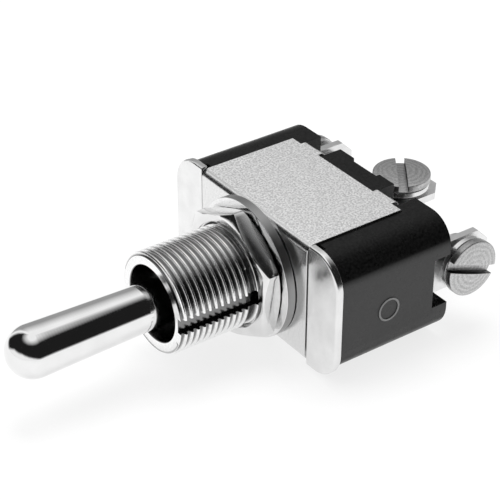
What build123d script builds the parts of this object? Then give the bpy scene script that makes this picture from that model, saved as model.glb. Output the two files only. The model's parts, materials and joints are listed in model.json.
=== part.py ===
from build123d import *
from math import cos, radians, sin, sqrt
import os

# Panel toggle switch with a threaded bushing, a bat lever and three screw terminals.
# The origin is where the bushing's axis meets the front face of the frame.
# +X runs out along the lever, +Y along the row of terminals, +Z out of the frame's upper plate.

os.makedirs("parts", exist_ok=True)

# Clearances
rest_gap = 0.05            # between pieces that sit against each other
pin_clearance = 0.01       # radial, a piece pressed or staked in its hole
running_clearance = 0.05   # radial, a piece that turns or slides in its hole
loose_gap = 0.1            # between a screw head, its washer and a nut

# Frame: one strip folded to a U, with four tabs crimped over the housing
frame_sheet = 0.8
frame_half_width = 9.93
frame_stand = 0.24
frame_fold = 1.0
tab_inner_edge = 5.0
tab_outer_edge = 8.3
tab_reach = 1.0
tab_drop = 2.8
tab_fold = 0.6

# Face plate: a pressed plate behind the frame's web, with an ear at each end
plate_sheet = 0.8
ear_gap_right = 0.33       # the web sits against the ear on -Y
ear_gap_left = 0.06
ear_overhang = 0.45
ear_edge_round = 0.3

# Housing: a moulded cup, open towards the lever
housing_half_length = 14.9
housing_half_height = 7.35
housing_corner = 3.4
housing_depth = 14.6
housing_rise = 0.5
end_wall = 2.1
plate_wall = 2.05
cavity_corner = 1.5
rib_inner_edge = 2.3
rib_outer_edge = 4.9
crimp_pocket_edge = 8.6
crimp_pocket_gap = 0.19
crimp_set_back = 3.2
end_notch_half_height = 3.15
end_notch_depth = 2.2
mark_radius = 1.45
mark_width = 0.25
mark_height = 0.12
mark_x = -7.6
mark_z = -0.7

# Insulator sheet in the mouth of the housing
insulator_sheet = 0.4
insulator_margin = 0.6
insulator_slot_half_width = 2.9
insulator_slot_margin = 0.5

# Bushing
barrel_wall = 1.5
bushing_length = 13.4
neck_wall = 0.75
stake_flare = 0.35
mouth_wall = 1.45
mouth_chamfer = 0.3
throat_lip = 0.5
keyway_width = 1.8
keyway_depth = 0.9
relief_gap = 0.07
relief_width = 0.5
relief_depth = 0.43

# Nut and locking ring on the bushing
ring_back = 0.1
ring_thickness = 1.1
ring_margin = 0.05
nut_wall = 1.145
nut_sides = 6
nut_thickness = 2.38
nut_turn = 24.0
nut_chamfer_angle = 30.0

# Lever
pivot_x = 6.5
ball_radius = 4.4
tip_radius = 3.02
root_radius = 2.43
lever_end_x = 31.2
skirt_radius = 2.4
skirt_length = 9.1
well_radius = 1.6
well_end_wall = 1.1
lever_pin_radius = 0.8
lever_pin_reach = 4.7
lever_swing = 13.0
retainer_thickness = 1.2
retainer_wall = 0.6

# Plunger and its spring, in the lever's well
plunger_reach = 13.45
plunger_tip_radius = 1.2
plunger_back = 7.3
plunger_taper_start = 11.5
spring_wire_radius = 0.2
spring_coils = 7

# Rocker that the plunger tips from side to side
rocker_swing = 8.3
rocker_rise = 2.0
rocker_sheet = 0.6
rocker_half_width = 2.2
saddle_half_length = 3.75
web_run = 1.05
wing_margin = 1.5
track_clearance = 0.08
trunnion_radius = 0.7
cradle_sheet = 0.6
cradle_half_length = 1.9
cradle_reach = 1.4
side_clearance = 0.15
cradle_rivet_radius = 0.8
cradle_rivet_head_radius = 1.1
cradle_rivet_head = 0.5

# Contacts
contact_arm = 7.5
moving_contact_radius = 1.3
moving_contact_head = 0.5
contact_dome = 4.0
contact_stem_radius = 0.6
contact_peen_radius = 0.9
contact_peen = 0.25
fixed_contact_radius = 1.5
fixed_contact_head = 0.6
fixed_contact_stem_radius = 0.7
closed_gap = 0.03

# Terminals
terminal_sheet = 0.9
terminal_half_width = 3.05
terminal_chamfer = 1.6
centre_tab_top = 2.5
centre_tab_margin = 0.88
centre_screw_gap = 1.98
centre_leg_drop = 5.7
side_tab_margin = 0.68
side_screw_gap = 0.08
side_leg_margin = 1.8
collar_wall = 0.75
collar_depth = 0.9

# Terminal screws and their washers
screw_shank_radius = 1.75
screw_shank_length = 6.35
screw_head_radius = 3.42
screw_head_rim = 0.85
screw_head_crown = 0.25
screw_slot_width = 1.1
screw_slot_depth = 1.0
screw_washer_radius = 3.35
screw_washer_thickness = 0.65
side_screw_lift = 0.65
centre_screw_lift = 0.65
centre_slot_angle = 54.0
right_slot_angle = -20.6
left_slot_angle = 65.0

# Places along X that follow from the sizes above
web_back = -frame_sheet
seat_x = web_back - plate_sheet
rear_x = seat_x - housing_depth
low_rear_x = rear_x + housing_rise
frame_depth = -rear_x - crimp_set_back
crimp_floor_x = -frame_depth - tab_reach + frame_sheet + 2 * rest_gap
mouth_x = bushing_length
ring_front = ring_back + ring_thickness
nut_back = ring_front + loose_gap
relief_back = nut_back + nut_thickness + relief_gap
relief_front = relief_back + relief_width
tip_x = pivot_x - plunger_reach
rocker_x = tip_x - rocker_rise
skirt_end = pivot_x - skirt_length
well_end = pivot_x - lever_pin_radius - well_end_wall
insulator_front = seat_x - 2 * rest_gap
insulator_back = insulator_front - insulator_sheet
centre_screw_x = rear_x - screw_head_radius - centre_screw_gap
centre_tab_end = centre_screw_x - screw_head_radius - centre_tab_margin
side_screw_x = rear_x - screw_head_radius - side_screw_gap
side_tab_end = side_screw_x - screw_head_radius - side_tab_margin

# The plunger's tip, seen from the rocker when both are at their limits
reach_x = tip_x + plunger_reach * (1 - cos(radians(lever_swing))) - rocker_x
reach_y = plunger_reach * sin(radians(lever_swing))
turn = radians(rocker_swing)
limit_x = reach_x * cos(turn) + reach_y * sin(turn)
limit_y = reach_y * cos(turn) - reach_x * sin(turn)
track_climb = limit_x - rocker_rise
path_radius = (track_climb ** 2 + limit_y ** 2) / (2 * track_climb)
track_radius = path_radius + plunger_tip_radius + track_clearance
track_centre = rocker_x + rocker_rise + path_radius

# Contacts meet when the rocker is at its limit
wing_back = rocker_x - rocker_sheet / 2
contact_face = rocker_sheet / 2 + moving_contact_head
closed_x = rocker_x + (contact_dome - contact_face) * cos(turn) - contact_arm * sin(turn) - contact_dome
fixed_face_x = closed_x - closed_gap
leg_front = fixed_face_x - fixed_contact_head
floor_x = leg_front - terminal_sheet

# Half sizes that follow
frame_half_height = housing_half_height + frame_stand
frame_inner = frame_half_height - frame_sheet
cavity_half_height = housing_half_height - plate_wall
crimp_pocket_floor = frame_half_height - tab_drop - crimp_pocket_gap
side_tab_face = housing_half_length - end_wall
cavity_half_length = side_tab_face + rest_gap
ear_inner_right = frame_half_width + ear_gap_right
ear_inner_left = frame_half_width + ear_gap_left
ear_half_length = housing_half_length + ear_overhang
ear_half_height = housing_half_height + ear_overhang
ear_corner = housing_corner + ear_overhang
barrel_radius = ball_radius + running_clearance
throat_radius = ball_radius - throat_lip
neck_radius = barrel_radius + neck_wall
thread_radius = barrel_radius + barrel_wall
mouth_radius = thread_radius - mouth_wall
nut_half_flats = thread_radius + running_clearance + nut_wall
nut_corner = nut_half_flats / cos(radians(180 / nut_sides))
ring_radius = nut_corner + ring_margin
wing_start = saddle_half_length + web_run
rocker_half_length = contact_arm + wing_margin
side_leg_end = contact_arm - side_leg_margin


def span_box(x0, x1, y0, y1, z0, z1):
    """A box between two corners."""
    size = Box(abs(x1 - x0), abs(y1 - y0), abs(z1 - z0))
    return Pos((x0 + x1) / 2, (y0 + y1) / 2, (z0 + z1) / 2) * size


def centred_box(x0, x1, half_y, half_z):
    """A box that is centred on the bushing's axis."""
    return span_box(x0, x1, -half_y, half_y, -half_z, half_z)


def rod_x(radius, x0, x1, y=0.0, z=0.0):
    """A cylinder along X."""
    length = abs(x1 - x0)
    return Pos((x0 + x1) / 2, y, z) * Rot(0, 90, 0) * Cylinder(radius, length)


def rod_z(radius, half_length, x):
    """A cylinder along Z through the XY plane's X axis."""
    return Pos(x, 0, 0) * Cylinder(radius, 2 * half_length)


def turned(points):
    """Revolves an outline of (x, radius) points about the X axis."""
    outline = make_face(Polyline(*[(x, r, 0) for x, r in points], close=True))
    return revolve(outline, Axis.X)


def slab(x0, x1, half_y, half_z, corner):
    """A rounded rectangle, thick along X."""
    outline = Plane.YZ * RectangleRounded(2 * half_y, 2 * half_z, corner)
    return Pos(min(x0, x1), 0, 0) * extrude(outline, amount=abs(x1 - x0))


def fold_edges(shape, x_side, radius):
    """Rounds the edges along Y at the front (-1) or the rear (0) of a shape."""
    edges = shape.edges().filter_by(Axis.Y).group_by(Axis.X)[x_side]
    return fillet(edges, radius)


def make_frame():
    outer = centred_box(-frame_depth, 0, frame_half_width, frame_half_height)
    outer = fold_edges(outer, -1, frame_fold)
    inner = centred_box(-2 * frame_depth, web_back, 2 * frame_half_width, frame_inner)
    inner = fold_edges(inner, -1, frame_fold - frame_sheet)
    frame = outer - inner - rod_x(neck_radius + pin_clearance, web_back, 0)
    for side in (-1, 1):
        for edge in (-1, 1):
            frame += crimp_tab(side, edge)
    return frame


def crimp_tab(side, edge):
    """A tab at the rear of the upper (1) or lower (-1) plate, folded towards the axis."""
    rear = -frame_depth - tab_reach
    low = frame_half_height - tab_drop
    tab = span_box(rear, -frame_depth, tab_inner_edge, tab_outer_edge, low, frame_half_height)
    fold = tab.edges().filter_by(Axis.Y).group_by(Axis.X)[0].sort_by(Axis.Z)[-1]
    tab = fillet(fold, tab_fold)
    tab -= span_box(rear + frame_sheet, 0, 0, frame_half_width, low, frame_inner)
    if edge < 0:
        tab = mirror(tab, Plane.XZ)
    if side < 0:
        tab = mirror(tab, Plane.XY)
    return tab


def make_face_plate():
    middle_half_height = frame_inner - (frame_fold - frame_sheet) - rest_gap
    plate = centred_box(seat_x, web_back, ear_inner_right + plate_sheet, middle_half_height)
    ears = slab(web_back, 0, ear_half_length, ear_half_height, ear_corner)
    ears = fillet(ears.edges().group_by(Axis.X)[-1], ear_edge_round)
    ears -= span_box(web_back, 0, -ear_inner_left, ear_inner_right, -ear_half_height, ear_half_height)
    plate += ears
    hole = neck_radius + pin_clearance
    flared = hole + stake_flare
    plate -= turned([(seat_x, 0), (seat_x, flared), (seat_x + stake_flare, hole), (0, hole), (0, 0)])
    return plate


def make_housing():
    body = slab(rear_x, seat_x, housing_half_length, housing_half_height, housing_corner)
    lugs = slab(seat_x, web_back - rest_gap, housing_half_length, housing_half_height, housing_corner)
    lugs -= centred_box(seat_x, 0, ear_inner_right + plate_sheet + rest_gap, 2 * housing_half_height)
    body += lugs
    body -= slab(floor_x, 0, cavity_half_length, cavity_half_height, cavity_corner)
    body -= insulator_blank(rest_gap)
    for side in (-1, 1):
        body -= plate_recess(side)
        for edge in (-1, 1):
            body -= crimp_pocket(side, edge)
    body -= rear_channels()
    body -= terminal_slots()
    for edge in (-1, 1):
        body -= end_notch(edge)
    return body + moulded_ring()


def plate_recess(side):
    """The shallow step that one of the frame's plates lies in."""
    inner = side * (frame_inner - rest_gap)
    outer = side * 2 * housing_half_height
    half_width = frame_half_width + rest_gap
    return span_box(crimp_floor_x, 0, -half_width, half_width, inner, outer)


def crimp_pocket(side, edge):
    """The notch in the rear rim that a crimped tab folds into."""
    outer = side * 2 * housing_half_height
    return span_box(rear_x, crimp_floor_x, edge * rib_outer_edge, edge * crimp_pocket_edge,
                    side * crimp_pocket_floor, outer)


def rear_channels():
    """The low parts of the rear face, beside and between the two ribs."""
    middle = centred_box(rear_x, low_rear_x, rib_inner_edge, 2 * housing_half_height)
    cuts = middle
    for edge in (-1, 1):
        cuts += span_box(rear_x, low_rear_x, edge * rib_outer_edge, edge * crimp_pocket_edge,
                         -2 * housing_half_height, 2 * housing_half_height)
    return cuts


def terminal_slots():
    """Slots in the floor for the three terminals."""
    half_width = terminal_half_width + rest_gap
    top = centre_tab_top + rest_gap
    bottom = centre_tab_top - terminal_sheet - rest_gap
    slots = span_box(rear_x, floor_x, -half_width, half_width, bottom, top)
    for edge in (-1, 1):
        inner = edge * (side_tab_face - terminal_sheet - rest_gap)
        outer = edge * cavity_half_length
        slots += span_box(rear_x, floor_x, inner, outer, -half_width, half_width)
    return slots


def end_notch(edge):
    """The notch in an end wall that shows the terminal."""
    return span_box(rear_x, rear_x + end_notch_depth, edge * side_tab_face, edge * 2 * housing_half_length,
                    -end_notch_half_height, end_notch_half_height)


def moulded_ring():
    """A plain raised ring on the +Y end."""
    ring = Cylinder(mark_radius, mark_height) - Cylinder(mark_radius - mark_width, mark_height)
    return Pos(mark_x, housing_half_length + mark_height / 2, mark_z) * Rot(90, 0, 0) * ring


def insulator_blank(grow):
    """The outline of the insulator sheet, or of its seat when grown."""
    half_length = cavity_half_length + insulator_margin
    half_height = cavity_half_height + insulator_margin
    corner = cavity_corner + insulator_margin
    return slab(insulator_back - grow, seat_x, half_length + grow, half_height + grow, corner)


def make_insulator():
    sheet = insulator_blank(0) & centred_box(insulator_back, insulator_front, housing_half_length,
                                             housing_half_height)
    swing = radians(lever_swing)
    skirt_reach = (pivot_x - insulator_back) * sin(swing) + skirt_radius * cos(swing)
    slot_half_length = skirt_reach + insulator_slot_margin
    return sheet - centred_box(insulator_back, insulator_front, slot_half_length, insulator_slot_half_width)


def make_bushing():
    chamfered = thread_radius - mouth_chamfer
    relief_radius = thread_radius - relief_depth
    body = turned([
        (seat_x, 0), (seat_x, neck_radius + stake_flare), (seat_x + stake_flare, neck_radius),
        (0, neck_radius), (0, thread_radius), (relief_back, thread_radius), (relief_back, relief_radius),
        (relief_front, relief_radius), (relief_front, thread_radius), (mouth_x - mouth_chamfer, thread_radius),
        (mouth_x, chamfered), (mouth_x, 0),
    ])
    seat_end = pivot_x + sqrt(barrel_radius ** 2 - throat_radius ** 2)
    body -= rod_x(barrel_radius, seat_x, pivot_x)
    body -= Pos(pivot_x, 0, 0) * Sphere(barrel_radius)
    body -= turned([(seat_end, 0), (seat_end, throat_radius), (mouth_x, mouth_radius), (mouth_x, 0)])
    groove = lever_pin_radius + running_clearance
    groove_reach = lever_pin_reach + loose_gap
    body -= centred_box(seat_x, pivot_x, groove, groove_reach)
    body -= rod_z(groove, groove_reach, pivot_x)
    keyway_floor = thread_radius - keyway_depth
    body -= span_box(0, mouth_x, keyway_floor, 2 * thread_radius, -keyway_width / 2, keyway_width / 2)
    return body


def make_lever_retainer():
    """The ring behind the ball, pressed into the bushing."""
    inner = barrel_radius - retainer_wall
    front = pivot_x - sqrt((ball_radius + running_clearance) ** 2 - inner ** 2)
    outer = barrel_radius - pin_clearance
    back = front - retainer_thickness
    return turned([(back, inner), (back, outer), (front, outer), (front, inner)])


def make_lock_washer():
    ring = rod_x(ring_radius, ring_back, ring_front)
    ring -= rod_x(thread_radius + running_clearance, ring_back, ring_front)
    tongue_half = keyway_width / 2 - running_clearance
    tongue_tip = thread_radius - keyway_depth + running_clearance
    tongue = span_box(ring_back, ring_front, tongue_tip, thread_radius + 2 * running_clearance,
                      -tongue_half, tongue_half)
    return ring + tongue


def make_hex_nut():
    drop = (nut_corner - nut_half_flats) * sin(radians(nut_chamfer_angle))
    outline = Plane.YZ * RegularPolygon(nut_corner, nut_sides, rotation=nut_turn)
    blank = extrude(outline, amount=nut_thickness)
    envelope = turned([
        (0, 0), (0, nut_half_flats), (drop, nut_corner), (nut_thickness - drop, nut_corner),
        (nut_thickness, nut_half_flats), (nut_thickness, 0),
    ])
    bore = rod_x(thread_radius + running_clearance, 0, nut_thickness)
    return Pos(nut_back, 0, 0) * ((blank & envelope) - bore)


def make_lever():
    tip_centre = lever_end_x - tip_radius
    shaft = turned([(pivot_x, 0), (pivot_x, root_radius), (tip_centre, tip_radius), (tip_centre, 0)])
    lever = shaft + Pos(tip_centre, 0, 0) * Sphere(tip_radius)
    lever += Pos(pivot_x, 0, 0) * Sphere(ball_radius)
    lever += rod_x(skirt_radius, skirt_end, pivot_x)
    lever -= rod_x(well_radius, skirt_end, well_end)
    return lever - rod_z(lever_pin_radius + pin_clearance, ball_radius, pivot_x)


def make_lever_pin():
    return rod_z(lever_pin_radius, lever_pin_reach, pivot_x)


def make_plunger():
    radius = well_radius - running_clearance
    back = pivot_x - plunger_back
    taper = pivot_x - plunger_taper_start
    body = turned([(back, 0), (back, radius), (taper, radius), (tip_x, plunger_tip_radius), (tip_x, 0)])
    return body + Pos(tip_x, 0, 0) * Sphere(plunger_tip_radius)


def make_plunger_spring():
    coil_radius = well_radius - 2 * running_clearance - spring_wire_radius
    start = pivot_x - plunger_back + spring_wire_radius + rest_gap
    length = well_end - start - spring_wire_radius - rest_gap
    path = Helix(pitch=length / spring_coils, height=length, radius=coil_radius)
    wire = Circle(spring_wire_radius)
    coil = sweep(Plane(origin=path @ 0, z_dir=path % 0) * wire, path=path)
    return Pos(start, 0, 0) * Rot(0, 90, 0) * coil


def make_rocker():
    """A strip with a saddle for the plunger, a wing to each side and a trunnion across it."""
    centre = Location((track_centre, 0, 0))
    saddle = centre * Cylinder(track_radius + rocker_sheet, 2 * rocker_half_width)
    saddle -= centre * Cylinder(track_radius, 2 * rocker_half_width)
    saddle &= span_box(rocker_x - rocker_sheet, track_centre, -saddle_half_length, saddle_half_length,
                       -rocker_half_width, rocker_half_width)
    rocker = saddle
    for edge in (-1, 1):
        rocker += rocker_wing(edge)
    return rocker + rod_z(trunnion_radius, rocker_half_width + side_clearance + cradle_sheet, rocker_x)


def rocker_wing(edge):
    """The slanted web and the flat wing at one side of the rocker."""
    middle = track_radius + rocker_sheet / 2
    shoulder = track_centre - sqrt(middle ** 2 - saddle_half_length ** 2)
    half = rocker_sheet / 2
    side_view = make_face(Polyline(
        (shoulder - half, edge * (saddle_half_length - half)), (shoulder + half, edge * saddle_half_length),
        (shoulder + half, edge * (saddle_half_length + half)), (rocker_x + half, edge * (wing_start + half)),
        (rocker_x + half, edge * rocker_half_length), (rocker_x - half, edge * rocker_half_length),
        (rocker_x - half, edge * (wing_start - half)), close=True))
    wing = extrude(side_view, amount=rocker_half_width, both=True)
    hole = contact_stem_radius + pin_clearance
    return wing - rod_x(hole, rocker_x - rocker_sheet, rocker_x + rocker_sheet, y=edge * contact_arm)


def make_moving_contact(edge):
    """A domed rivet in a wing of the rocker."""
    wing_front = wing_back + rocker_sheet
    head_end = wing_back - moving_contact_head
    dome_centre = head_end + contact_dome
    rivet = rod_x(moving_contact_radius, head_end, wing_back)
    rivet &= Pos(dome_centre, 0, 0) * Sphere(contact_dome)
    rivet += rod_x(contact_stem_radius, wing_back, wing_front)
    rivet += rod_x(contact_peen_radius, wing_front, wing_front + contact_peen)
    return Pos(0, edge * contact_arm, 0) * rivet


def make_fixed_contact(edge):
    """A flat rivet in the leg of an end terminal."""
    head = rod_x(fixed_contact_radius, leg_front, fixed_face_x)
    stem = rod_x(fixed_contact_stem_radius, floor_x, leg_front)
    return Pos(0, edge * contact_arm, 0) * (head + stem)


def make_rocker_cradle():
    """A channel whose two cheeks carry the rocker's trunnion."""
    inner = rocker_half_width + side_clearance
    outer = inner + cradle_sheet
    base_front = leg_front + cradle_sheet
    cradle = centred_box(leg_front, base_front, cradle_half_length, outer)
    cheek = centred_box(leg_front, rocker_x, cradle_half_length, outer)
    cheek += centred_box(rocker_x, rocker_x + cradle_reach, cradle_reach, outer)
    cheek -= centred_box(leg_front, rocker_x + 2 * cradle_reach, 2 * cradle_half_length, inner)
    cradle += cheek
    cradle -= rod_z(trunnion_radius + running_clearance, outer, rocker_x)
    return cradle - rod_x(cradle_rivet_radius + pin_clearance, leg_front, base_front)


def make_cradle_rivet():
    base_front = leg_front + cradle_sheet
    head = rod_x(cradle_rivet_head_radius, base_front, base_front + cradle_rivet_head)
    return head + rod_x(cradle_rivet_radius, floor_x, base_front)


def tab_blank(length_start, length_end):
    """A flat tab along -X with two cut corners, its outer face at Z = 0."""
    cut = terminal_chamfer
    half = terminal_half_width
    outline = make_face(Polyline(
        (length_start, -half, 0), (length_end + cut, -half, 0), (length_end, cut - half, 0),
        (length_end, half - cut, 0), (length_end + cut, half, 0), (length_start, half, 0), close=True))
    return Pos(0, 0, -terminal_sheet) * extrude(outline, amount=terminal_sheet)


def screw_collar(x):
    """The drawn collar round a terminal's screw hole, under the tab."""
    radius = screw_shank_radius + running_clearance + collar_wall
    return Pos(x, 0, -terminal_sheet - collar_depth / 2) * Cylinder(radius, collar_depth)


def screw_hole(x):
    return Pos(x, 0, 0) * Cylinder(screw_shank_radius + running_clearance, 2 * (terminal_sheet + collar_depth))


def make_centre_terminal():
    tab = tab_blank(leg_front, centre_tab_end) + screw_collar(centre_screw_x)
    tab = Pos(0, 0, centre_tab_top) * (tab - screw_hole(centre_screw_x))
    bottom = centre_tab_top - centre_leg_drop
    leg = span_box(floor_x, leg_front, -terminal_half_width, terminal_half_width, bottom, centre_tab_top)
    return tab + leg - rod_x(cradle_rivet_radius + pin_clearance, floor_x, leg_front)


def make_side_terminal(edge):
    tab = tab_blank(leg_front, side_tab_end) + screw_collar(side_screw_x)
    tab = side_frame(edge) * (tab - screw_hole(side_screw_x))
    leg = span_box(floor_x, leg_front, edge * side_leg_end, edge * side_tab_face,
                   -terminal_half_width, terminal_half_width)
    hole = rod_x(fixed_contact_stem_radius + pin_clearance, floor_x, leg_front, y=edge * contact_arm)
    return tab + leg - hole


def side_frame(edge):
    """Turns a shape built on +Z so that it stands on the outer face of an end terminal."""
    return Location((0, edge * side_tab_face, 0)) * Rot(-edge * 90, 0, 0)


def make_screw_washer(x, lift):
    washer = Cylinder(screw_washer_radius, screw_washer_thickness)
    washer -= Cylinder(screw_shank_radius + running_clearance, screw_washer_thickness)
    return Pos(x, 0, lift + screw_washer_thickness / 2) * washer


def make_screw(x, lift, slot_angle):
    """A slotted binding head screw whose axis is +Z."""
    under_head = lift + screw_washer_thickness + loose_gap
    rim_top = under_head + screw_head_rim
    crown_radius = (screw_head_radius ** 2 + screw_head_crown ** 2) / (2 * screw_head_crown)
    head = Pos(0, 0, under_head) * Cylinder(
        screw_head_radius, screw_head_rim + screw_head_crown, align=(Align.CENTER, Align.CENTER, Align.MIN))
    head &= Pos(0, 0, rim_top + screw_head_crown - crown_radius) * Sphere(crown_radius)
    slot_floor = rim_top + screw_head_crown - screw_slot_depth
    slot = Box(2 * screw_head_radius, screw_slot_width, 2 * screw_slot_depth,
               align=(Align.CENTER, Align.CENTER, Align.MIN))
    head -= Pos(0, 0, slot_floor) * Rot(0, 0, slot_angle) * slot
    shank = Pos(0, 0, under_head - screw_shank_length / 2) * Cylinder(screw_shank_radius, screw_shank_length)
    return Pos(x, 0, 0) * (head + shank)


def place_centre(shape):
    return Pos(0, 0, centre_tab_top) * shape


parts = {
    "frame": make_frame(),
    "face_plate": make_face_plate(),
    "housing": make_housing(),
    "insulator_sheet": make_insulator(),
    "bushing": make_bushing(),
    "lever_retainer": make_lever_retainer(),
    "lock_washer": make_lock_washer(),
    "hex_nut": make_hex_nut(),
    "lever": make_lever(),
    "lever_pin": make_lever_pin(),
    "plunger": make_plunger(),
    "plunger_spring": make_plunger_spring(),
    "rocker": make_rocker(),
    "rocker_cradle": make_rocker_cradle(),
    "cradle_rivet": make_cradle_rivet(),
    "terminal_centre": make_centre_terminal(),
    "screw_washer_centre": place_centre(make_screw_washer(centre_screw_x, centre_screw_lift)),
    "screw_centre": place_centre(make_screw(centre_screw_x, centre_screw_lift, centre_slot_angle)),
}

for name, edge, slot_angle in (("right", 1, right_slot_angle), ("left", -1, left_slot_angle)):
    parts["terminal_" + name] = make_side_terminal(edge)
    parts["fixed_contact_" + name] = make_fixed_contact(edge)
    parts["moving_contact_" + name] = make_moving_contact(edge)
    parts["screw_washer_" + name] = side_frame(edge) * make_screw_washer(side_screw_x, side_screw_lift)
    parts["screw_" + name] = side_frame(edge) * make_screw(side_screw_x, side_screw_lift, slot_angle)

for name, shape in parts.items():
    export_step(shape, "parts/" + name + ".step")
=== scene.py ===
import json
from math import atan2, ceil, cos, degrees, pi, radians, sin, sqrt, tan

import bmesh
import bpy
from mathutils import Matrix, Vector


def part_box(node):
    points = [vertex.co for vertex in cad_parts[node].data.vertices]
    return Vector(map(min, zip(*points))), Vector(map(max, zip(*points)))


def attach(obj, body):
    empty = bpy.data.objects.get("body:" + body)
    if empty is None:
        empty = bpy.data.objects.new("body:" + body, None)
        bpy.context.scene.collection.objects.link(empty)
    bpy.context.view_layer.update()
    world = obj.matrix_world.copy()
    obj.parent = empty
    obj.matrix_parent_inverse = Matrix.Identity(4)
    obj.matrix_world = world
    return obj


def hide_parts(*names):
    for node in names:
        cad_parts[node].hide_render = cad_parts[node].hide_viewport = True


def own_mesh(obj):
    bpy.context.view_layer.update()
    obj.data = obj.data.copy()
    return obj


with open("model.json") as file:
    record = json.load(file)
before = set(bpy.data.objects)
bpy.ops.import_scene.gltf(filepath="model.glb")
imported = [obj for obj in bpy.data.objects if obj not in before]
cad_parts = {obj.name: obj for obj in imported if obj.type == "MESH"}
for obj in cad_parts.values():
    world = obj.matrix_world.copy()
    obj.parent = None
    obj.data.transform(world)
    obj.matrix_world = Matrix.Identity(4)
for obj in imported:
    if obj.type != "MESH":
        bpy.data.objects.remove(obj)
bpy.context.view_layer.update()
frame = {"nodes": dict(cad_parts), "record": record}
nodes = frame["nodes"]
slots = {part["node"]: part["material_slot"] for part in frame["record"]["subparts"]}
scene = bpy.context.scene
mm = 0.001

# Sizes are in millimetres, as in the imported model, and turns are in degrees

# Threads: one pitch is a line of (share of the pitch, share of the depth) points
thread_pitch = 25.4 / 32
thread_depth = 0.43
thread_form = (
    (0.0, 0.03), (0.04, 0.0), (0.21, 0.0), (0.25, 0.05), (0.34, 0.5), (0.43, 0.95), (0.47, 1.0),
    (0.6, 1.0), (0.74, 1.0), (0.78, 0.95), (0.87, 0.5), (0.96, 0.07), (1.0, 0.03),
)

# Bushing
thread_radius = 5.95
bushing_end = 13.4
end_chamfer = 0.22
end_inner = 5.0
mouth_radius = 4.5
mouth_round = 0.14
mouth_foot = 12.4
mouth_taper = 0.13
throat = (8.64, 3.9)
barrel = 4.45
barrel_from = 61.2
neck_end = -1.6
neck_radius = 5.2
neck_flare = 0.35
relief = (3.75, 4.25)
key_floor = 5.05
key_half = 0.9

# Nut
nut_back = 1.3
nut_front = 3.68
nut_flat = 7.145
nut_turn = 24.0
nut_gap = 0.03
corner_slope = 0.5
corner_round = 0.05

# Lever, with the turns at which its ball starts and ends
lever_pivot = 6.5
ball_radius = 4.4
ball_from = 37
ball_to = 146.9
lever_root = 2.43
root_foot = 4.3
tip_radius = 3.02
tip_to = 88
lever_end = 31.2
skirt_foot = 3.7
skirt_end = -2.6
skirt_radius = 2.4
skirt_round = 0.2
well_radius = 1.6
well_round = 0.1
well_end = 4.6

# Plunger spring
spring_wire = 0.2
spring_turns = 7

# Terminal screws: the table has each one's axis out of the head, its slot's turn and its seat
screw_under = 1.4
screw_head = 3.42
head_rim = 0.85
head_crown = 0.25
head_edge = 0.14
head_round = 0.16
foot_round = 0.1
foot_bevel = 0.3
screw_top = screw_under + head_rim + head_crown
slot_width = 1.1
slot_depth = 1.0
screw_shank = 1.75
shank_length = 6.35
core_cut = 0.44
screw_core = screw_shank - core_cut
screw_tail = screw_under - shank_length
tail_bevel = 0.2
tail_radius = 0.9
screws = (
    ("centre", (0, 0, 1), 54.0, (-21.6, 0, 2.5)),
    ("right", (0, 1, 0), -20.6, (-19.7, 12.8, 0)),
    ("left", (0, -1, 0), 65.0, (-19.7, -12.8, 0)),
)

# The outside of the housing's ends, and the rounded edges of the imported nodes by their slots
housing_end = 14.9
fine_edge = 0.03
edge_widths = {
    "frame": 0.07, "face_plate": 0.05, "housing": 0.06, "mounting_hardware": 0.08, "terminals": 0.07,
    "screw_washers": 0.08,
}

# Studio: the cards' low edges are lines of (turn, rise) points, and lamps shine in watts
floor_height = -8.35
floor_half = 1500
floor_glow = 0.78
ambient_light = 0.62
card_rows = 40
card_columns = 90
dark_edge = ((-78, -5), (-45, -5), (-20, 10), (20, 12), (60, 2), (85, -6), (195, -6))
side_edge = ((-178, -5), (-70, -5))

# Camera
camera_place = (91.117, 125.981, 102.746)
camera_right = (-0.81252, 0.58293, 0.00342)
camera_up = (-0.31479, -0.44370, 0.83907)
camera_lens = 119.18
camera_sensor = 36.0
camera_near = 5
camera_far = 10000


def height_at(line, place):
    """The height at a place on a line of (place, height) points."""
    for (a, low), (b, high) in zip(line, line[1:]):
        if place <= b:
            return low + (high - low) * (place - a) / (b - a)
    return line[-1][1]


def polar(along, radius, turn):
    """The point at a place along the X axis, a radius and a turn about it."""
    a = radians(turn)
    return (along, radius * cos(a), radius * sin(a))


def shade(mesh, sharp):
    """Smooth shading, with the edges above an angle left sharp."""
    mesh.shade_smooth()
    mesh.set_sharp_from_angle(angle=radians(sharp))


def add_mesh(name, points, faces, face_slots=None, sharp=35.0):
    """An object from points in millimetres, with doubled points merged."""
    doubled = 0.0002 * mm
    mesh = bpy.data.meshes.new(name)
    mesh.from_pydata([(x * mm, y * mm, z * mm) for x, y, z in points], [], faces)
    if face_slots:
        mesh.polygons.foreach_set("material_index", face_slots)
    bm = bmesh.new()
    bm.from_mesh(mesh)
    bmesh.ops.remove_doubles(bm, verts=bm.verts, dist=doubled)
    bmesh.ops.dissolve_degenerate(bm, edges=bm.edges, dist=doubled)
    bmesh.ops.recalc_face_normals(bm, faces=bm.faces)
    bm.to_mesh(mesh)
    bm.free()
    shade(mesh, sharp)
    obj = bpy.data.objects.new(name, mesh)
    scene.collection.objects.link(obj)
    return obj


def grid_faces(rows, columns, closed):
    """Quads between neighbouring rows of points."""
    faces = []
    for i in range(rows - 1):
        for j in range(columns if closed else columns - 1):
            a = i * columns + j
            b = i * columns + (j + 1) % columns
            faces.append((a, b, b + columns, a + columns))
    return faces


def ring_faces(rows, columns):
    """Quads that join the last row of closed rows to the first."""
    last = (rows - 1) * columns
    return [(last + j, last + (j + 1) % columns, (j + 1) % columns, j) for j in range(columns)]


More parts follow.
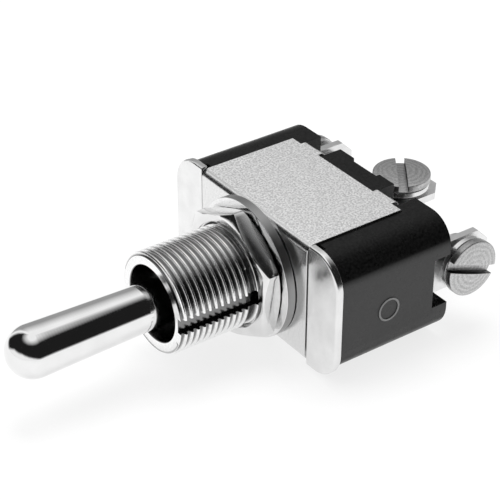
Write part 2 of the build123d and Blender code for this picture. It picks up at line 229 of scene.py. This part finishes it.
def rounded(corners, steps=4):
    """An outline whose (along, radius, fillet) corners are rounded."""
    most_of_side = 0.45
    line = []
    for i, (along, radius, fillet) in enumerate(corners):
        if fillet == 0 or i in (0, len(corners) - 1):
            line.append((along, radius))
            continue
        here = Vector((along, radius))
        before = Vector(corners[i - 1][:2]) - here
        after = Vector(corners[i + 1][:2]) - here
        cut = fillet / tan(before.angle(after) / 2)
        cut = min(cut, most_of_side * before.length, most_of_side * after.length)
        start = here + before.normalized() * cut
        end = here + after.normalized() * cut
        for k in range(steps + 1):
            t = k / steps
            q = start * (1 - t) ** 2 + here * (2 * t * (1 - t)) + end * t ** 2
            line.append((q.x, q.y))
    return line


def arc(centre, radius, first, last, steps):
    """Points (along, radius) on a circle about a point of the axis."""
    points = []
    for k in range(steps + 1):
        a = radians(first + (last - first) * k / steps)
        points.append((centre + radius * cos(a), radius * sin(a)))
    return points


def lathe(name, outline, columns, sharp):
    """Turns an outline of (along, radius) about the X axis."""
    points = [polar(along, radius, 360 * j / columns) for along, radius in outline for j in range(columns)]
    return add_mesh(name, points, grid_faces(len(outline), columns, True), sharp=sharp)


def thread_rows(start, end, major, turns, limit):
    """Rows of (along, radius) that follow a right-handed thread inside a limiting outline."""
    rows = []
    for count in range(-1, ceil((end - start) / thread_pitch) + 1):
        for phase, _ in thread_form[:-1]:
            row = []
            for turn in turns:
                along = start + (count + phase + turn / 360) * thread_pitch
                along = min(max(along, start), end)
                share = (along - start) / thread_pitch - turn / 360
                cut = thread_depth * height_at(thread_form, share % 1.0)
                row.append((along, min(major - cut, limit(along))))
            rows.append(row)
    return rows


def bushing_limit(along):
    """The outside of the bushing that the thread is cut into."""
    radius = thread_radius
    if relief[0] < along < relief[1]:
        radius = thread_radius - thread_depth
    return min(radius, thread_radius + bushing_end - end_chamfer - along)


def keyed_point(kind, along, radius, turn):
    """A point of the bushing's outside, with the keyway on +Y cut away."""
    side = 1 if turn < 180 else -1
    if kind == "floor":
        return (along, key_floor, 0)
    if kind == "corner":
        return (along, key_floor, side * key_half)
    if kind == "edge":
        return (along, sqrt(radius ** 2 - key_half ** 2), side * key_half)
    return polar(along, radius, turn)


def bore_outline():
    """The end face, its rounded lip and the bore down to the neck's end."""
    line = rounded([(bushing_end, end_inner, 0), (bushing_end, mouth_radius, mouth_round),
                    (mouth_foot, mouth_radius - mouth_taper, 0)])
    line.append(throat)
    line += arc(lever_pivot, barrel, barrel_from, 90, steps=8)
    line.append((neck_end, barrel))
    return line


def make_bushing():
    """The threaded tube with its keyway on +Y, and a near-black material in its bore as painted shade."""
    round_from = 12.5
    steps = 184
    rounds = [round_from + (360 - 2 * round_from) * j / steps for j in range(steps + 1)]
    edge = degrees(atan2(key_half, sqrt(thread_radius ** 2 - key_half ** 2)))
    corner, bore_corner, bore_edge = 4, 8, 11.8
    outer = [0, corner, edge] + rounds + [360 - edge, 360 - corner, 360]
    inner = [0, bore_corner, bore_edge] + rounds + [360 - bore_edge, 360 - bore_corner, 360]
    kinds = ["floor", "corner", "edge"] + ["round"] * len(rounds) + ["edge", "corner", "floor"]
    columns = len(kinds)
    neck = ((neck_end, barrel), (neck_end, neck_radius + neck_flare), (neck_end + neck_flare, neck_radius),
            (0, neck_radius))
    points = [polar(along, radius, turn) for along, radius in neck for turn in inner]
    for row in thread_rows(0, bushing_end, thread_radius, outer, bushing_limit):
        points += [keyed_point(kind, *spot, turn) for kind, spot, turn in zip(kinds, row, outer)]
    end_row = len(points) // columns
    points += [polar(along, radius, turn) for along, radius in bore_outline() for turn in inner]
    faces = grid_faces(len(points) // columns, columns, False)
    # Painted shade: past the first rows from the mouth, the bore takes the second slot, a near-black
    # material that stands for the shadow inside it.
    bright_rows = 5
    painted_shade_from = (end_row + bright_rows) * (columns - 1)
    face_slots = [1 if i >= painted_shade_from else 0 for i in range(len(faces))]
    return add_mesh("bushing_threaded_tube", points, faces, face_slots, sharp=50.0)


def nut_line(reach):
    """The nut's section where its hexagon reaches a radius, from the front of the bore to the back."""
    bore = thread_radius + nut_gap

    def sink(radius):
        """How far the corner's chamfer lies below the face."""
        return corner_slope * max(0.0, radius - nut_flat)

    # Depth below the face and radius: the bore's bevel, the face, and the corner with its round edge
    line = [
        (0.35, bore), (0.02, bore + 0.31), (0, bore + 0.39), (0, nut_flat - 0.12), (0.004, nut_flat - 0.05),
        (sink(reach - 0.1) + 0.012, reach - 0.1), (sink(reach) + 0.02, reach - 0.045),
        (sink(reach) + 0.05, reach - 0.012), (sink(reach) + 0.1, reach),
    ]
    front = [(nut_front - depth, radius) for depth, radius in line]
    back = [(nut_back + depth, radius) for depth, radius in reversed(line)]
    return front + back


def make_nut():
    """A hexagon nut with both faces chamfered and its edges eased."""
    columns = 240
    flat_half = 28.0
    turns = [360 * j / columns for j in range(columns)]
    lines = []
    for turn in turns:
        aside = turn % 60 - 30
        reach = nut_flat / cos(radians(aside))
        reach -= corner_round * max(0.0, (abs(aside) - flat_half) / (30 - flat_half)) ** 2
        lines.append(nut_line(reach))
    points = []
    for ring in zip(*lines):
        points += [polar(along, radius, turn + nut_turn) for (along, radius), turn in zip(ring, turns)]
    rows = len(lines[0])
    faces = grid_faces(rows, columns, True) + ring_faces(rows, columns)
    return add_mesh("panel_nut", points, faces, sharp=24.0)


def make_lever():
    """The bat lever with its ball and its hollow skirt."""
    steps = 15
    centre = lever_end - tip_radius
    slope = (tip_radius - lever_root) / (centre - lever_pivot)
    outline = arc(centre, tip_radius, 0, tip_to, steps=22)
    for k in range(1, steps + 1):
        along = centre + (lever_pivot + root_foot - centre) * k / steps
        outline.append((along, lever_root + slope * (along - lever_pivot)))
    outline += arc(lever_pivot, ball_radius, ball_from, ball_to, steps=40)
    outline += rounded([(lever_pivot - skirt_foot, skirt_radius, 0), (skirt_end, skirt_radius, skirt_round),
                        (skirt_end, well_radius, well_round), (well_end, well_radius, 0)])
    outline.append((well_end, 0))
    return lathe("bat_lever_turned", outline, columns=160, sharp=40.0)


def make_spring():
    """The coil spring in the lever's well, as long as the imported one."""
    low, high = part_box("plunger_spring")
    coil = (high[1] - low[1]) / 2 / mm - spring_wire
    start = low[0] / mm + spring_wire
    length = high[0] / mm - spring_wire - start
    columns = 10
    steps = 32 * spring_turns
    points = []
    for i in range(steps + 1):
        share = i / steps
        for j in range(columns):
            a = 2 * pi * j / columns
            along = start + length * share + spring_wire * sin(a)
            points.append(polar(along, coil + spring_wire * cos(a), 360 * spring_turns * share))
    faces = grid_faces(steps + 1, columns, True)
    faces.append(tuple(range(columns)))
    faces.append(tuple(steps * columns + j for j in range(columns)))
    return add_mesh("plunger_coil", points, faces, sharp=50.0)


def screw_outline():
    """A screw's section from the top of its head to the end of its shank."""
    steps = 13
    flat = 0.02
    ball = (screw_head ** 2 + head_crown ** 2) / (2 * head_crown)
    crown = []
    for k in range(steps + 1):
        r = (screw_head - head_edge) * k / steps
        crown.append((screw_top - ball + sqrt(ball ** 2 - r ** 2), r))
    rim = rounded([crown[-1] + (0,), (screw_under + head_rim - flat, screw_head, head_round),
                   (screw_under + flat, screw_head, foot_round), (screw_under, screw_head - foot_bevel, 0)])
    shank = [(screw_under, screw_core), (screw_tail + tail_bevel, screw_core), (screw_tail, tail_radius),
             (screw_tail, 0)]
    return crown + rim + shank


def cut_slot(screw):
    """Cuts the slot along Y and rounds the screw's edges."""
    reach = 5
    corners = [(x, y, z) for x in (screw_top - slot_depth, screw_top + 1) for y in (-reach, reach)
               for z in (-slot_width / 2, slot_width / 2)]
    sides = [(0, 1, 3, 2), (4, 6, 7, 5), (0, 4, 5, 1), (2, 3, 7, 6), (0, 2, 6, 4), (1, 5, 7, 3)]
    cutter = add_mesh("cutter", corners, sides)
    cut = screw.modifiers.new("slot", "BOOLEAN")
    cut.operation = "DIFFERENCE"
    cut.solver = "EXACT"
    cut.object = cutter
    add_bevel(screw, width=0.05, above=50)
    bake(screw)
    bpy.data.objects.remove(cutter)


def sleeve_limit(along):
    """The outside that a screw's thread is cut into, which rises from the core at both ends."""
    tail_step = 0.05
    head_step = 0.02
    head_slope = 3
    tail_rise = screw_core + tail_step + along - screw_tail
    head_rise = screw_core + head_step + head_slope * (screw_under - along)
    return min(screw_shank, tail_rise, head_rise)


def make_sleeve(name):
    """The thread of a screw, as a closed sleeve around its core."""
    columns = 48
    buried = 0.2
    into_head = 0.05
    inner = screw_core - buried
    turns = [360 * j / columns for j in range(columns + 1)]
    tail_row = [(screw_tail + buried, inner)] * len(turns)
    head_row = [(screw_under + into_head, inner)] * len(turns)
    thread = thread_rows(screw_tail, screw_under, screw_shank, turns, sleeve_limit)
    rows = [tail_row] + thread + [head_row, tail_row]
    points = [polar(along, radius, turn) for row in rows for (along, radius), turn in zip(row, turns)]
    return add_mesh(name, points, grid_faces(len(rows), len(turns), False), sharp=50.0)


def make_screw(name, place):
    """A binding head screw about the X axis, its slot along Y."""
    sharp = 30.0
    screw = lathe(name, screw_outline(), columns=96, sharp=sharp)
    cut_slot(screw)
    join(screw, make_sleeve(name + "_thread"))
    shade(screw.data, sharp)
    screw.matrix_world = place
    return screw


def stand(axis, turn, origin):
    """A place whose X axis is a screw's axis and whose Y axis is its slot, turned about that axis."""
    u = Vector(axis)
    v = Matrix.Rotation(radians(turn), 3, u) @ Vector((1, 0, 0))
    w = u.cross(v)
    return Matrix.Translation(Vector(origin) * mm) @ Matrix((u, v, w)).transposed().to_4x4()


def bake(obj):
    """Applies the modifiers of a new piece."""
    graph = bpy.context.evaluated_depsgraph_get()
    mesh = bpy.data.meshes.new_from_object(obj.evaluated_get(graph))
    obj.modifiers.clear()
    obj.data = mesh


def join(obj, other):
    """Adds another new piece's mesh to this one."""
    bm = bmesh.new()
    bm.from_mesh(obj.data)
    bm.from_mesh(other.data)
    bm.to_mesh(obj.data)
    bm.free()
    bpy.data.objects.remove(other)


def add_bevel(obj, width, above):
    """A modifier that rounds the edges above an angle."""
    bevel = obj.modifiers.new("edges", "BEVEL")
    bevel.width = width * mm
    bevel.segments = 2
    bevel.limit_method = "ANGLE"
    bevel.angle_limit = radians(above)
    return bevel


def ease(obj, width):
    """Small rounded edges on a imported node, made by modifiers alone."""
    merged = 0.002
    level = 0.2
    mesh = obj.data
    if "custom_normal" in mesh.attributes:
        mesh.attributes.remove(mesh.attributes["custom_normal"])
    mesh.shade_smooth()
    weld = obj.modifiers.new("weld", "WELD")
    weld.merge_threshold = merged * mm
    flat = obj.modifiers.new("flat", "DECIMATE")
    flat.decimate_type = "DISSOLVE"
    flat.angle_limit = radians(level)
    add_bevel(obj, width, above=40).harden_normals = True


class Nodes:
    """Short names for the nodes of a material or of the world."""

    def __init__(self, tree):
        self.tree = tree

    def node(self, kind, **values):
        """A new node, with values for its settings and, by their names, its inputs."""
        made = self.tree.nodes.new("ShaderNode" + kind)
        for key, value in values.items():
            if hasattr(made, key):
                setattr(made, key, value)
            else:
                made.inputs[key.replace("_", " ")].default_value = value
        return made

    def give(self, target, value):
        """Gives an input a socket, a colour, a grey or a number."""
        if isinstance(value, tuple):
            target.default_value = (*value, 1)
        elif not isinstance(value, (int, float)):
            self.tree.links.new(value, target)
        elif target.type == "RGBA":
            target.default_value = (value, value, value, 1)
        else:
            target.default_value = value

    def math(self, operation, first, second=None, use_clamp=False):
        """The result of an operation on one or two sockets or numbers."""
        made = self.node("Math", operation=operation, use_clamp=use_clamp)
        self.give(made.inputs[0], first)
        if second is not None:
            self.give(made.inputs[1], second)
        return made.outputs[0]

    def mix_shaders(self, share, first, second):
        """One shader with a share of another."""
        made = self.node("MixShader")
        for target, value in zip(made.inputs, (share, first, second)):
            self.give(target, value)
        return made.outputs[0]

    def seen_rays(self):
        """1 for the rays that show a background: camera, glossy and transmission."""
        path = self.node("LightPath")
        seen = path.outputs["Is Camera Ray"]
        for name in ("Is Glossy Ray", "Is Transmission Ray"):
            seen = self.math("ADD", seen, path.outputs[name], use_clamp=True)
        return seen


class Shader(Nodes):
    """A new material. Scales are in cells a millimetre, and depths in millimetres."""

    def __init__(self, name):
        self.material = bpy.data.materials.new(name)
        self.material.use_nodes = True
        super().__init__(self.material.node_tree)
        self.bsdf = self.tree.nodes["Principled BSDF"]
        coordinates = self.node("TexCoord")
        self.place = coordinates.outputs["Object"]
        self.own_normal = coordinates.outputs["Normal"]
        self.bumped = None

    def feed(self, **values):
        """Gives the main shader's inputs their values."""
        for key, value in values.items():
            self.give(self.bsdf.inputs[key.replace("_", " ")], value)

    def show(self, shader):
        """Takes another shader for the surface."""
        self.give(self.tree.nodes["Material Output"].inputs["Surface"], shader)

    def noise(self, scale, detail=3.0, stretch=None):
        """Noise in the object's own space, which may be stretched."""
        made = self.node("TexNoise", Scale=scale / mm, Detail=detail)
        place = self.place
        if stretch:
            mapping = self.node("Mapping", Scale=stretch)
            self.give(mapping.inputs["Vector"], place)
            place = mapping.outputs["Vector"]
        self.give(made.inputs["Vector"], place)
        return made.outputs["Fac"]

    def waves(self, scale, **values):
        """Bands or rings across the X axis."""
        made = self.node("TexWave", Scale=scale / mm, **values)
        self.give(made.inputs["Vector"], self.place)
        return made.outputs["Fac"]

    def spread(self, value, low, high, start=0.3, end=0.7):
        """Maps a value to a range, from the range that noise has unless told otherwise."""
        made = self.node("MapRange", From_Min=start, From_Max=end, To_Min=low, To_Max=high)
        self.give(made.inputs["Value"], value)
        return made.outputs["Result"]

    def ramp(self, value, start, end):
        """0 up to the start and 1 from the end."""
        return self.spread(value, 0.0, 1.0, start, end)

    def uneven(self, low, high, scale, detail=3.0):
        """A value that noise varies."""
        return self.spread(self.noise(scale, detail), low, high)

    def mix(self, share, first, second, data_type="RGBA", blend_type="MIX"):
        """Mixes two greys, colours or sockets, or two numbers where the data type is FLOAT."""
        made = self.node("Mix", data_type=data_type, blend_type=blend_type)
        start, result = {"RGBA": (6, 2), "FLOAT": (2, 0)}[data_type]
        self.give(made.inputs[0], share)
        self.give(made.inputs[start], first)
        self.give(made.inputs[start + 1], second)
        return made.outputs[result]

    def axis(self, vector, name):
        """The X, Y or Z of a vector."""
        split = self.node("SeparateXYZ")
        self.give(split.inputs[0], vector)
        return split.outputs[name]

    def facing(self, name):
        """The X, Y or Z of the surface's normal."""
        return self.axis(self.node("NewGeometry").outputs["Normal"], name)

    def bump(self, height, depth):
        """Adds bumps to those made so far."""
        made = self.node("Bump", Strength=1.0, Distance=depth * mm)
        self.give(made.inputs["Height"], height)
        if self.bumped is not None:
            self.give(made.inputs["Normal"], self.bumped)
        self.bumped = made.outputs["Normal"]
        self.feed(Normal=self.bumped)


def metal(name, dark, light, smooth, rough, wave=0.0, wave_scale=0.4, grain=0.0, grain_scale=6.0):
    """Plated metal: cloudy tone, uneven polish, a slow wave and a fine grain."""
    s = Shader(name)
    s.feed(Metallic=1.0, Base_Color=s.mix(s.uneven(0, 1, scale=0.35), dark, light),
           Roughness=s.uneven(smooth, rough, scale=1.3, detail=5.0))
    if wave:
        s.bump(s.noise(wave_scale, detail=1.0), wave)
    if grain:
        s.bump(s.noise(grain_scale, detail=4.0), grain)
    return s


def lever_chrome():
    """Bright chrome with the faint rings that the turning leaves."""
    s = metal("lever_chrome", dark=0.80, light=0.86, smooth=0.045, rough=0.10, wave=0.006, wave_scale=0.22)
    s.bump(s.waves(0.9, wave_type="BANDS", bands_direction="X", Distortion=1.5, Detail=2.0), depth=0.0006)
    return s.material


def thread_nickel():
    """Nickel on the bushing, darkened at the roots of its thread and in the keyway, partly as grime and
    partly as painted shade.
    """
    root = thread_radius - 0.38
    crest = thread_radius - 0.16
    root_grime_and_shade_tone, crest_tone = 0.22, 0.97
    s = Shader("bushing_nickel")
    # Grime and painted shade: the surface darkens with less radius from the axis, so the thread's roots and
    # the keyway floor go dark; the end face stays light.
    squares = [s.math("MULTIPLY", side, side) for side in (s.axis(s.place, "Y"), s.axis(s.place, "Z"))]
    radius = s.math("SQRT", s.math("ADD", *squares))
    end = s.ramp(s.facing("X"), start=0.93, end=0.97)
    light_share = s.math("MAXIMUM", s.ramp(radius, root * mm, crest * mm), end)
    light_share = s.math("MULTIPLY", light_share, s.uneven(0.86, 1.0, scale=3.0, detail=5.0))
    s.feed(Metallic=1.0, Base_Color=s.mix(light_share, root_grime_and_shade_tone, crest_tone),
           Roughness=s.uneven(0.12, 0.24, scale=2.6, detail=5.0))
    s.bump(s.noise(scale=1.1, detail=2.0), depth=0.008)
    s.bump(s.noise(scale=7.0, detail=4.0), depth=0.008)
    return s.material


def sheet_nickel():
    """Rolled and plated sheet: grained plates dulled by a film, and a bright folded web."""
    web_tones = (0.74, 0.82)
    plate_tones = (0.6, 0.96)
    plate_metallic = 0.76
    rolled = (1, 1, 0.12)
    s = Shader("sheet_nickel")
    plate = s.ramp(s.math("ABSOLUTE", s.facing("Z")), start=0.93, end=0.99)
    speck = s.ramp(s.noise(scale=4.5, detail=2.0), start=0.38, end=0.62)
    web_rough = s.uneven(0.18, 0.26, scale=2.2, detail=6.0)
    plate_rough = s.uneven(0.34, 0.48, scale=2.2, detail=6.0)
    s.feed(Metallic=s.spread(plate, 1.0, plate_metallic, 0.0, 1.0),
           Base_Color=s.mix(plate, s.mix(speck, *web_tones), s.mix(speck, *plate_tones)),
           Roughness=s.mix(plate, web_rough, plate_rough, data_type="FLOAT"))
    s.bump(s.noise(scale=0.16, detail=1.0), depth=0.012)
    s.bump(s.noise(scale=0.9, detail=2.0, stretch=rolled), depth=0.01)
    s.bump(s.math("MULTIPLY", s.noise(scale=5.0, detail=3.0), plate), depth=0.06)
    return s.material


def ring_nickel():
    """The ring behind the nut: bright faces, and a duller, darker rim."""
    rim_tone, face_tone = 0.38, 0.86
    rim_rough, face_rough = 0.3, 0.12
    s = Shader("ring_nickel")
    # The rim, whose normal lies across the axis, takes the darker, rougher tone.
    face = s.ramp(s.math("ABSOLUTE", s.facing("X")), start=0.3, end=0.8)
    light_share = s.math("MULTIPLY", face, s.uneven(0.85, 1.0, scale=2.0, detail=4.0))
    s.feed(Metallic=1.0, Base_Color=s.mix(light_share, rim_tone, face_tone),
           Roughness=s.spread(face, rim_rough, face_rough, 0.0, 1.0))
    s.bump(s.noise(scale=0.35, detail=1.0), depth=0.006)
    s.bump(s.noise(scale=6.0, detail=4.0), depth=0.002)
    return s.material


def screw_steel():
    """A turned head: rings about the screw's axis, small scratches, and painted shade on the slot's walls
    and deeper in the slot.
    """
    dark, light = 0.03, 0.68
    ring_share = 0.16
    slot_shade = 0.08
    slot_reach = 0.6
    floor_depth = 0.5
    s = Shader("screw_steel")
    rings = s.waves(0.55, wave_type="RINGS", rings_direction="X", Distortion=4.0, Detail=3.0,
                    Detail_Scale=1.2)
    scratches = s.math("MULTIPLY", s.noise(scale=6.0), 1 - ring_share)
    tone = s.spread(s.math("ADD", s.math("MULTIPLY", rings, ring_share), scratches), 0.55, 1.0)
    # Painted shade: the head darkens below the rim into the slot, and the slot's upright walls go dark.
    above_rim = s.math("SUBTRACT", s.axis(s.place, "X"), (screw_under + head_rim) * mm)
    sunk = s.math("MULTIPLY", s.spread(above_rim, 1.0, 0.0, -floor_depth * mm, 0.0), slot_shade)
    in_slot = s.math("LESS_THAN", s.math("ABSOLUTE", s.axis(s.place, "Z")), slot_reach * mm)
    upright = s.ramp(s.math("ABSOLUTE", s.axis(s.own_normal, "Z")), start=0.7, end=0.95)
    shadow = s.math("ADD", sunk, s.math("MULTIPLY", in_slot, upright))
    lit = s.math("MAXIMUM", s.math("SUBTRACT", 1.0, shadow), 0.0)
    s.feed(Metallic=1.0, Base_Color=s.mix(s.math("MULTIPLY", tone, lit), dark, light),
           Roughness=s.uneven(0.3, 0.46, scale=3.0, detail=5.0))
    s.bump(rings, depth=0.0025)
    s.bump(s.noise(scale=5.0, detail=5.0), depth=0.01)
    return s.material


def phenolic():
    """Moulded black phenolic: satin with fine specks, its raised ring lighter, and its flat ends lightened
    by a painted sheen.
    """
    ring_tone = 0.17
    end_sheen_tone = 0.05
    s = Shader("phenolic_black")
    raised = s.ramp(s.axis(s.place, "Y"), (housing_end + 0.02) * mm, (housing_end + 0.08) * mm)
    specks = s.mix(s.uneven(0, 1, scale=4.0, detail=6.0), 0.001, 0.008)
    # Painted sheen: the flat ends that face along Y are lightened.
    end = s.ramp(s.math("ABSOLUTE", s.facing("Y")), start=0.94, end=0.995)
    s.feed(Base_Color=s.mix(end, s.mix(raised, specks, ring_tone), end_sheen_tone, blend_type="ADD"),
           Roughness=s.uneven(0.24, 0.36, scale=0.9, detail=5.0), Specular_IOR_Level=0.14)
    s.bump(s.noise(scale=0.35, detail=2.0), depth=0.015)
    s.bump(s.noise(scale=6.0, detail=4.0), depth=0.006)
    return s.material


def plain(name, dark, light, rough, metallic=0.0, grain=0.006, grain_scale=4.0, specular=0.5):
    """A plain inner material with tone, roughness and grain."""
    unevenness = 0.07
    s = Shader(name)
    s.feed(Metallic=metallic, Specular_IOR_Level=specular,
           Base_Color=s.mix(s.uneven(0, 1, scale=0.8, detail=5.0), dark, light),
           Roughness=s.uneven(rough - unevenness, rough + unevenness, scale=1.6, detail=4.0))
    s.bump(s.noise(grain_scale, detail=4.0), grain)
    return s.material


def add_piece(obj, body, node):
    """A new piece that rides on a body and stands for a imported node."""
    slot = slots[node]
    obj.data.materials.clear()
    obj.data.materials.append(materials[slot])
    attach(obj, body)
    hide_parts(node)


def add_floor():
    """A floor that shows white, a little darker in the part's shade, and clear from below."""
    half = floor_half * mm
    mesh = bpy.data.meshes.new("floor")
    corners = [(-half, -half, 0), (half, -half, 0), (half, half, 0), (-half, half, 0)]
    mesh.from_pydata(corners, [], [(0, 1, 2, 3)])
    floor = bpy.data.objects.new("floor", mesh)
    floor.location.z = floor_height * mm
    scene.collection.objects.link(floor)
    s = Shader("floor_white")
    s.feed(Base_Color=0.9, Roughness=0.9, Specular_IOR_Level=0.0)
    glow = s.node("Emission", Strength=1.0)
    clear = s.node("BsdfTransparent")
    below = s.node("NewGeometry").outputs["Backfacing"]
    share = s.math("MULTIPLY", s.seen_rays(), floor_glow)
    above = s.mix_shaders(share, s.bsdf.outputs[0], glow.outputs[0])
    s.show(s.mix_shaders(below, above, clear.outputs[0]))
    mesh.materials.append(s.material)


def add_world():
    """A white background, which lights the part less brightly than it shows."""
    world = bpy.data.worlds.new("studio")
    world.use_nodes = True
    scene.world = world
    s = Nodes(world.node_tree)
    ambient = s.tree.nodes["Background"]
    ambient.inputs["Color"].default_value = (1, 1, 1, 1)
    ambient.inputs["Strength"].default_value = ambient_light
    white = s.node("Background", Color=(1, 1, 1, 1), Strength=1.0)
    shown = s.mix_shaders(s.seen_rays(), ambient.outputs[0], white.outputs[0])
    s.give(s.tree.nodes["World Output"].inputs["Surface"], shown)


def card_points(centre, radius, low_edge, high, soft):
    """A card's points, row by row, and how solid it is at each: its four sides are soft."""
    first, last = low_edge[0][0], low_edge[-1][0]
    bottom = min(rise for _, rise in low_edge)
    points = []
    shares = []
    for i in range(card_rows + 1):
        rise = bottom + (high - bottom) * i / card_rows
        flat = radius * cos(radians(rise))
        for j in range(card_columns + 1):
            turn = first + (last - first) * j / card_columns
            points.append((centre[0] + flat * cos(radians(turn)), centre[1] + flat * sin(radians(turn)),
                           centre[2] + radius * sin(radians(rise))))
            inside = (turn - first, last - turn, rise - height_at(low_edge, turn), high - rise)
            shares.append(max(0.0, min(1.0, *(depth / width for depth, width in zip(inside, soft)))))
    return points, shares


def add_card(name, tone, **shape):
    """A curved studio card that only reflections show."""
    points, shares = card_points(**shape)
    faces = grid_faces(card_rows + 1, card_columns + 1, False)
    mesh = bpy.data.meshes.new(name)
    mesh.from_pydata([(x * mm, y * mm, z * mm) for x, y, z in points], [], faces)
    layer = mesh.attributes.new("fade", "FLOAT", "POINT")
    layer.data.foreach_set("value", shares)
    card = bpy.data.objects.new(name, mesh)
    scene.collection.objects.link(card)
    s = Shader(name)
    clear = s.node("BsdfTransparent")
    glow = s.node("Emission", Strength=tone)
    fade = s.node("Attribute", attribute_name="fade")
    s.show(s.mix_shaders(fade.outputs["Fac"], clear.outputs[0], glow.outputs[0]))
    mesh.materials.append(s.material)
    card.visible_camera = False
    card.visible_diffuse = False
    card.visible_shadow = False
    card.visible_transmission = False


def add_lamp(name, place, size, power):
    """A round lamp, aimed at the origin, that reflections don't show."""
    lamp = bpy.data.lights.new(name, "AREA")
    lamp.shape = "DISK"
    lamp.size = size * mm
    lamp.energy = power
    obj = bpy.data.objects.new(name, lamp)
    obj.location = Vector(place) * mm
    obj.rotation_euler = (-Vector(place)).to_track_quat("-Z", "Y").to_euler()
    obj.visible_glossy = False
    scene.collection.objects.link(obj)


def add_camera():
    """The camera at the place and angle that fit the photograph."""
    lens = bpy.data.cameras.new("camera")
    lens.sensor_width = camera_sensor
    lens.lens = camera_lens
    lens.clip_start = camera_near * mm
    lens.clip_end = camera_far * mm
    right = Vector(camera_right)
    up = Vector(camera_up)
    axes = Matrix((right, up, right.cross(up))).transposed().to_4x4()
    camera = bpy.data.objects.new("camera", lens)
    camera.matrix_world = Matrix.Translation(Vector(camera_place) * mm) @ axes
    scene.collection.objects.link(camera)
    scene.camera = camera


face_plate = metal("face_plate_nickel", dark=0.78, light=0.88, smooth=0.17, rough=0.26,
                   wave=0.008, wave_scale=0.2)
nut = metal("nut_nickel", dark=0.74, light=0.84, smooth=0.08, rough=0.15,
            wave=0.006, wave_scale=0.35, grain=0.002)
terminal = metal("terminal_tin", dark=0.78, light=0.90, smooth=0.28, rough=0.4,
                 wave=0.01, wave_scale=0.5, grain=0.006, grain_scale=3.0)
washer = metal("washer_nickel", dark=0.7, light=0.84, smooth=0.14, rough=0.24, grain=0.006, grain_scale=3.0)
materials = {
    "bat_lever": lever_chrome(),
    "bushing": thread_nickel(),
    "frame": sheet_nickel(),
    "face_plate": face_plate.material,
    "mounting_hardware": nut.material,
    "terminals": terminal.material,
    "screws": screw_steel(),
    "screw_washers": washer.material,
    "housing": phenolic(),
    "insulator": plain("fibre", (0.17, 0.11, 0.06), (0.28, 0.2, 0.12), rough=0.75,
                       grain=0.02, grain_scale=2.5),
    "plunger": plain("nylon", (0.66, 0.62, 0.52), (0.76, 0.73, 0.64), rough=0.42),
    "inner_steel": plain("inner_steel", 0.34, 0.5, rough=0.34, metallic=1.0),
    "inner_brass": plain("inner_brass", (0.55, 0.38, 0.14), (0.7, 0.52, 0.24), rough=0.3, metallic=1.0),
    "contacts": plain("contact_silver", 0.7, 0.82, rough=0.24, metallic=1.0),
}
dark_rim_ring = ring_nickel()
# Painted shade: a near-black material stands for the shadow inside the bushing's bore.
bore_painted_shade = plain("bore_painted_shade", 0.03, 0.07, rough=0.85, specular=0.08)

bushing = make_bushing()
add_piece(bushing, "root", "bushing")
bushing.data.materials.append(bore_painted_shade)
add_piece(make_nut(), "hex_nut", "hex_nut")
add_piece(make_lever(), "lever", "lever")
spring = make_spring()
add_piece(spring, "lever", "plunger_spring")
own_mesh(spring)
for name, axis, turn, origin in screws:
    screw = make_screw("binding_screw_" + name, stand(axis, turn, origin))
    add_piece(screw, "screw_" + name, "screw_" + name)

for name, obj in nodes.items():
    obj.data.materials.clear()
    obj.data.materials.append(dark_rim_ring if name == "lock_washer" else materials[slots[name]])
    ease(obj, edge_widths.get(slots[name], fine_edge))

add_floor()
add_world()
add_card("card_dark", tone=0.014, centre=(24, 0, 0), radius=110, low_edge=dark_edge, high=76,
         soft=(10, 45, 8, 22))
add_card("card_side", tone=0.36, centre=(0, 0, 0), radius=130, low_edge=side_edge, high=65,
         soft=(22, 8, 4, 36))
add_lamp("lamp_top", place=(-60, -70, 330), size=220, power=0.9)
add_lamp("lamp_front", place=(190, -120, 200), size=250, power=0.35)
add_camera()

scene.view_settings.view_transform = "Standard"
